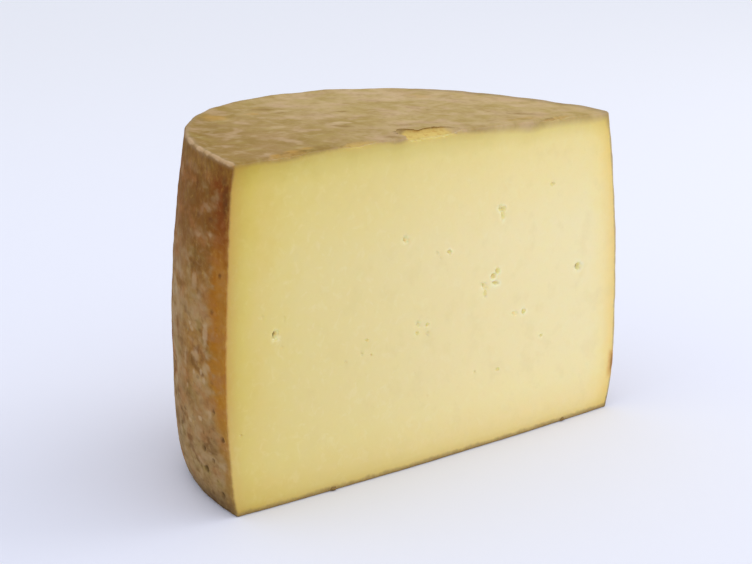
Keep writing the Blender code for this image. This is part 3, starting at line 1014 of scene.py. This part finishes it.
def side_colour(s):
    """The rind's side: brown with a painted grey-tan sheen away from the cut, darker above, with an
    orange-brown band beside the cut.
    """
    along = {"space": s.wrap, "stretch": SIDE_STRETCH}
    broad, mid, warm, fine = s.noises(SIDE_NOISES, **along)
    cloud = s.noise(*CLOUD_NOISE, space=s.wrap)
    colour, calm = side_ground(s, broad, mid, cloud)

    marks = s.uneven(s.measure("side_orange"), (mid, 0.6))
    colour = s.lay(colour, "side orange mark", marks)
    colour = s.lay(colour, "side reddish blotch", warm)
    for name, value in (("side olive blotch", warm), ("side pale blotch", mid), ("side dark blotch", mid),
                        ("side pale grain", fine), ("side dark grain", fine)):
        colour = s.lay(colour, name, value, calm)

    marks = s.uneven(s.measure("side_pale"), (fine, 0.7), (mid, 0.5))
    colour = s.lay(colour, "side pale mark", marks, calm)
    specks = s.total(s.spots(SIDE_SPECK_SPACING, **along), s.times(fine, 0.35))
    speckled = s.times(s.between(s.base, 110, 80), s.between(s.base, 20, 45))
    colour = s.lay(colour, "side speck", specks, speckled)
    marks = s.uneven(s.measure("side_dark"), (fine, 0.6), (mid, 0.4))
    colour = s.lay(colour, "side dark mark", marks)
    holes = s.total(s.spots(SIDE_HOLE_SPACING, offset=SIDE_HOLE_PLACE, **along), s.times(fine, 0.3))
    colour = s.lay(colour, "side small hole", holes, s.between(s.base, 90, 45))
    # Pits darkened with their depth: the rind's brown, partly painted shade in the hollow
    pits = s.uneven(s.measure("pit"), (fine, 1.0))
    colour = s.lay(colour, "side pit with painted shade", pits)
    sunken = s.share("side small hole", holes)
    height = s.total(s.times(mid, 1.1), s.times(fine, 0.7), s.times(sunken, -0.5))
    return colour, height


def top_colour(s):
    """The top crust: tan and olive, with paler patches and dark spots."""
    broad, patches, mid, fine = s.noises(TOP_NOISES)
    colour = s.ramp(broad, *TOP_RAMP)
    # Partly painted shade and partly the crust's own tone: darker towards the left, away from the light
    shade = s.ramp(s.between(s.across, *TOP_SHADE_ENDS), *TOP_SHADE)
    colour = s.mix(1.0, colour, shade, "MULTIPLY")
    for value, kind in ((patches, "patch"), (mid, "blotch"), (fine, "grain")):
        colour = s.lay(colour, "top pale " + kind, value)
        colour = s.lay(colour, "top dark " + kind, value)

    marks = s.uneven(s.measure("top_orange"), (mid, 1.2))
    colour = s.lay(colour, "top orange mark", marks)
    # Paler marks of the crust, the first of them a painted highlight along a ridge
    marks = s.uneven(s.measure("top_pale"), (mid, 0.9))
    colour = s.lay(colour, "top pale mark", marks)
    marks = s.uneven(s.measure("top_dark"), (fine, 1.2), (mid, 0.8))
    colour = s.lay(colour, "top dark mark", marks)
    specks = s.total(s.spots(TOP_SPECK_SPACING), s.times(fine, 0.4))
    colour = s.lay(colour, "top speck", specks)
    return colour, s.total(s.times(mid, 0.3), s.times(fine, 0.15))


def paste_colour(s):
    """The cut paste: pale butter yellow, deeper and browner towards the rind."""
    uneven, curd, grain = s.noises(PASTE_NOISES)
    # Paler to the right: partly painted light from the right, partly the paste's own deeper yellow at the
    # left
    colour = s.ramp(s.between(s.across, *PASTE_ENDS), *PASTE_RAMP)
    colour = s.lay(colour, "pale curd", curd)
    colour = s.lay(colour, "deep patch", uneven)
    colour = s.lay(colour, "deep grain", grain)
    # A ring of painted highlight round each opening, where its rim catches the light
    patchy = s.between(curd, 0.3, 0.65)
    colour = s.lay(colour, "painted highlight round an eye", s.measure("halo"), patchy)

    stretchy = s.math("MULTIPLY_ADD", uneven, 0.8, 0.6)
    by_crust = s.tint(s.times(s.math("MAXIMUM", s.crust, 0.0), stretchy), UNDER_CRUST_TINT)
    by_base = s.tint(s.times(s.base, stretchy), ABOVE_BASE_TINT)
    by_rind = s.times(s.math("MAXIMUM", s.side, 0.0), stretchy)
    by_left = s.mix(s.times(s.between(s.base, 75, 5), 0.45), s.tint(by_rind, LEFT_TINT), WHITE)
    by_side = s.mix(s.between(s.across, -0.02, 0.02), by_left, s.tint(by_rind, RIGHT_TINT))
    for shade in (by_crust, by_base, by_side):
        colour = s.mix(1.0, colour, shade, "MULTIPLY")
    eye = s.measure("eye")
    # Painted light: paler yellow on the eyes' walls, lifting the shade in the hollows
    colour = s.lay(colour, "eye", eye)
    # Painted shade: dark olive deep in the largest eyes
    colour = s.lay(colour, "painted shade in an eye's core", eye)
    return colour, s.total(s.times(curd, 0.5), s.times(grain, 0.2))


class CheeseShading(Shading):
    """What the cheese's colour is laid by: depths in mm, across in metres, and noises for ragged edges."""

    def __init__(self, name):
        super().__init__(name)
        self.side = self.measure("from_side")
        self.top = self.measure("from_top")
        self.crust = self.measure("from_crust")
        self.base = self.measure("from_base")
        self.cut = self.measure("from_cut")
        self.chip = self.measure("chip")
        self.across = self.part(self.place, "X")
        self.ragged, self.knots = self.noises(EDGE_NOISES)
        self.near_face = self.between(self.cut, 3.0, 0.0)
        self.right_end = self.between(self.across, 0.05, 0.12)


def rind_colour(s):
    """The rind's colour and height: the side and the top, with their rim, a painted highlight on the front
    ridge, and painted shade at their foot.
    """
    side, side_height = side_colour(s)
    top, top_height = top_colour(s)
    side = s.lay(side, "worn right end", s.across, s.near_face)
    below_rim = s.between(s.top, 0.8, 2.0)
    side = s.lay(side, "shade under the rim", s.top, below_rim)
    on_top = s.between(s.math("SUBTRACT", s.side, s.top), -0.9, 0.9)
    colour = s.mix(on_top, side, top)

    squares = s.total(s.times(s.side, s.side), s.times(s.top, s.top))
    corner = s.math("SQRT", squares)
    colour = s.lay(colour, "rim", corner)
    colour = s.lay(colour, "right rim", corner, s.between(s.across, 0.06, 0.1))
    # Painted highlight along the rounded front-left rim of the top, where it catches the light
    ridge = s.uneven(corner, (s.ragged, 0.9), (s.knots, 4.0))
    front_left = s.times(s.between(s.across, 0.0, -0.03), s.between(s.cut, 85, 45))
    colour = s.lay(colour, "painted highlight on the front ridge", ridge, front_left)
    low = s.uneven(s.base, (s.ragged, 5.0))
    # Painted shade darkening the rind towards its foot, and a painted contact shadow along its lowest edge
    colour = s.lay(colour, "foot", low)
    colour = s.lay(colour, "painted contact shadow at the foot", low)
    return colour, s.blend(on_top, side_height, top_height)


def paste_share(s, chip_ends):
    """1 in the paste and 0 in the rind, with a ragged edge that is softer where the crust is worn."""
    worn = s.times(s.between(s.across, 0.02, 0.06), s.near_face)
    kept = s.times(chip_ends, s.between(s.chip, 0.0, 0.4), 2.6)
    skin = s.total(CRUST_THICKNESS, s.times(worn, WORN_CRUST), kept)
    rind = s.total(RIND_THICKNESS, s.right_end)
    below = s.math("SUBTRACT", s.side, rind)
    below = s.math("MINIMUM", below, s.math("SUBTRACT", s.crust, skin))
    below = s.math("MINIMUM", below, s.math("SUBTRACT", s.base, RIND_THICKNESS))
    below = s.uneven(below, (s.ragged, 1.6))

    by_edge = s.between(s.top, 14, 5)
    left_end = s.between(s.across, -0.05, -0.11)
    softer_left = s.times(left_end, s.near_face, 0.5)
    soft = s.total(0.75, s.times(by_edge, 0.6), s.times(by_edge, worn, 2.2), softer_left)
    return s.between(below, s.times(soft, -1.0), soft)


def lay_chips(s, colour, chip_ends):
    """The torn crust: a painted shadow line along its back, and yellow paste with brown smudges."""
    torn_off = s.math("SUBTRACT", 1.0, chip_ends)
    # Painted shadow under the overhanging crust along the back of each chip
    at_back = s.times(s.between(s.chip, 1.5, 0.5), s.between(s.cut, 3.0, 6.0))
    broken = s.times(s.between(s.ragged, 0.25, 0.5), torn_off)
    colour = s.lay(colour, "painted shadow along a chip's back", s.chip, at_back, broken)
    torn = s.uneven(s.chip, (s.ragged, 1.6))
    behind_face = s.between(s.cut, 0.5, 3.0)
    colour = s.lay(colour, "torn paste", torn, torn_off, behind_face)
    smudged = s.between(s.ragged, 0.5, 0.64)
    colour = s.lay(colour, "torn smudge", torn, torn_off, smudged)
    return s.lay(colour, "flake", s.uneven(s.measure("flake"), (s.ragged, 1.4)))


def lay_stains(s, colour):
    """The brown stain at the right edge of the cut, the brown foot of the cut, partly rind and partly painted
    contact shadow, and the crumbs on it.
    """
    from_stain = s.math("SUBTRACT", s.uneven(s.base, (s.ragged, 5.0)), STAIN_HEIGHT)
    from_stain = s.math("ABSOLUTE", from_stain)
    near_rind = s.between(s.uneven(s.side, (s.ragged, 2.0)), 6.0, 2.4)
    right_face = s.times(s.right_end, s.near_face)
    colour = s.lay(colour, "stain", from_stain, near_rind, right_face)
    at_rind = s.between(s.side, 3.4, 1.4)
    colour = s.lay(colour, "core of the stain", from_stain, at_rind, right_face)
    # The foot of the cut: partly the base's rind, partly painted contact shadow
    heel = s.uneven(s.base, (s.ragged, 2.4), (s.knots, 2.0))
    colour = s.lay(colour, "heel", heel, s.near_face)
    return s.lay(colour, "crumb", s.measure("crumb"))


def cheese_colour(s):
    """The whole cheese's colour and height: rind outside and paste inside, by depth."""
    rind, rind_height = rind_colour(s)
    paste, paste_height = paste_colour(s)
    along = s.math("MULTIPLY_ADD", s.cut, -0.84, s.math("DIVIDE", s.across, MILLIMETRE))
    left_end = s.between(along, -18.5, -23.0)
    chip_ends = s.math("MAXIMUM", left_end, s.between(s.across, 0.012, 0.018))
    inside = paste_share(s, chip_ends)
    colour = s.mix(inside, rind, paste)
    colour = lay_chips(s, colour, chip_ends)
    colour = lay_stains(s, colour)
    return colour, s.blend(inside, rind_height, s.times(paste_height, 0.5))


def make_paste():
    s = CheeseShading("cheddar_paste")
    colour, height = cheese_colour(s)
    roughness = s.between(s.noise(*PASTE_GLOSS_NOISE), -0.7, 1.5)
    s.shader.inputs["Specular IOR Level"].default_value = 0.25
    s.shader.inputs["Subsurface Weight"].default_value = 0.5
    s.shader.inputs["Subsurface Radius"].default_value = (1.0, 0.75, 0.35)
    s.shader.inputs["Subsurface Scale"].default_value = 0.005
    return s.finish(colour, roughness, height, PASTE_BUMP)


def make_rind():
    s = CheeseShading("cheddar_rind")
    colour, height = cheese_colour(s)
    roughness = s.between(s.noise(*RIND_GLOSS_NOISE), -1.8, 0.9)
    s.shader.inputs["Specular IOR Level"].default_value = 0.12
    return s.finish(colour, roughness, height, RIND_BUMP)


def make_floor():
    mesh = bmesh.new()
    bmesh.ops.create_circle(mesh, cap_ends=True, segments=96, radius=FLOOR_RADIUS)
    data = bpy.data.meshes.new("floor")
    mesh.to_mesh(data)
    mesh.free()
    s = Shading("floor")
    right = s.times(s.part(s.place, "X"), math.sin(CAMERA_AZIMUTH))
    away = s.times(s.part(s.place, "Y"), math.cos(CAMERA_AZIMUTH))
    # Painted light: lighter and bluer near the camera, darker far back
    colour = s.mix(s.between(s.total(right, away), *FLOOR_FADE), FLOOR_NEAR, FLOOR_FAR)
    s.feed(s.shader.inputs["Base Color"], colour)
    s.shader.inputs["Roughness"].default_value = 0.9
    s.shader.inputs["Specular IOR Level"].default_value = 0.1
    data.materials.append(s.material)
    floor = bpy.data.objects.new("floor", data)
    bpy.context.scene.collection.objects.link(floor)


def make_light():
    """A bright, even surround, with one large soft panel up to the right."""
    world = bpy.data.worlds.new("sky")
    world.use_nodes = True
    sky = world.node_tree.nodes["Background"]
    sky.inputs["Color"].default_value = linear(SKY_COLOUR)
    sky.inputs["Strength"].default_value = SKY_STRENGTH
    bpy.context.scene.world = world
    lamp = bpy.data.lights.new("panel", "AREA")
    lamp.energy = PANEL_POWER
    lamp.size = PANEL_SIZE
    lamp.color = linear(PANEL_COLOUR)[:3]
    panel = bpy.data.objects.new("panel", lamp)
    panel.location = PANEL_PLACE
    panel.rotation_euler = Vector(PANEL_PLACE).to_track_quat("Z", "Y").to_euler()
    panel.visible_camera = False
    bpy.context.scene.collection.objects.link(panel)


def make_camera():
    lens = bpy.data.cameras.new("camera")
    lens.lens = CAMERA_LENS
    lens.sensor_width = SENSOR_WIDTH
    lens.sensor_fit = "HORIZONTAL"
    camera = bpy.data.objects.new("camera", lens)
    turn = Matrix.Rotation(-CAMERA_AZIMUTH, 4, "Z") @ Matrix.Rotation(math.pi / 2 - CAMERA_DIP, 4, "X")
    turn = turn @ Matrix.Rotation(CAMERA_ROLL, 4, "Z")
    camera.matrix_world = Matrix.Translation(CAMERA_PLACE) @ turn
    bpy.context.scene.collection.objects.link(camera)
    bpy.context.scene.camera = camera


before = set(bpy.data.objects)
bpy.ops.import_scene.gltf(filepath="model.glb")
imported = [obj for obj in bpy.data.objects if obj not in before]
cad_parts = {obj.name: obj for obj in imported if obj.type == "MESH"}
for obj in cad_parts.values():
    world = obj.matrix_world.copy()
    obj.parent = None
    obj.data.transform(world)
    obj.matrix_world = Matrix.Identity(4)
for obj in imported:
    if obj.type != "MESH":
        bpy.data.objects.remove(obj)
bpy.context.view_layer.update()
bpy.context.scene.view_settings.view_transform = "Standard"
make_camera()
make_light()
make_floor()
cheese = make_cheese(make_paste(), make_rind())
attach(cheese, "root")
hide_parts(NODE)
